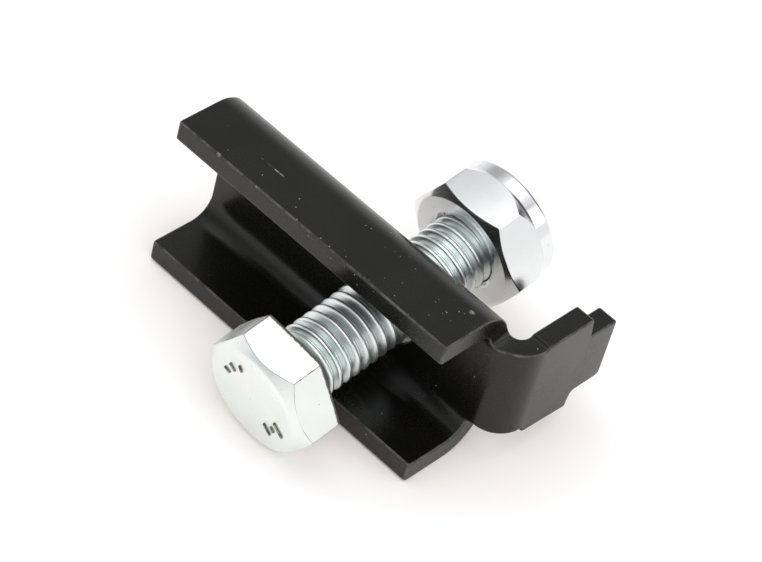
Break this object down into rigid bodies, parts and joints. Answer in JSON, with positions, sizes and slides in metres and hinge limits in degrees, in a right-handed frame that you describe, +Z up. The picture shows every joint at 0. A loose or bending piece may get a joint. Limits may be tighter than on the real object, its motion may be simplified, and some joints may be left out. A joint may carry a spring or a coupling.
{
  "type": "channel clamp bracket with bolt and lock nut",
  "caption": "Black folded-steel channel with a right-angle hooked tongue, clamped by a zinc-plated hex bolt through its web and a nylon-insert lock nut behind it.",
  "frame": {"origin": "middle of the channel's web, on its flat back face, at half its length and half its height", "axes": "+X along the channel towards the hooked tongue, +Y out of the web's back face towards the nut, +Z up across the flanges"},
  "size_m": [0.0515, 0.0476, 0.0247],
  "materials": {
    "black_paint": "satin black paint over folded steel, lightly chipped on its edges",
    "zinc_bolt": "bright bluish zinc plate, a little uneven",
    "zinc_nut": "bright zinc plate, smooth and mirror-like",
    "nylon": "natural nylon"
  },
  "bodies": {
    "bracket": {"clamp_bracket": "black_paint"},
    "bolt": {"hex_bolt": "zinc_bolt"},
    "ring": {"nylon_insert": "nylon"},
    "nut": {"lock_nut": "zinc_nut"}
  },
  "joints": [
    {"name": "bolt_slide", "type": "slide", "parent": "bracket", "child": "bolt", "axis": [0.0214, 0.9797, 0.1994], "range_m": [-0.004, 0.004]},
    {"name": "nut_travel", "type": "slide", "parent": "bolt", "child": "ring", "axis": [0.0214, 0.9797, 0.1994], "range_m": [-0.004, 0.0035]},
    {"name": "nut_spin", "type": "hinge", "parent": "ring", "child": "nut", "pos_m": [0.00744, 0.01418, 0.00319], "axis": [0.0214, 0.9797, 0.1994], "range_deg": [-900, 720]}
  ],
  "couplings": [
    {"joint": "nut_travel", "follows": "nut_spin", "m_per_rad": 0.00023873}
  ]
}
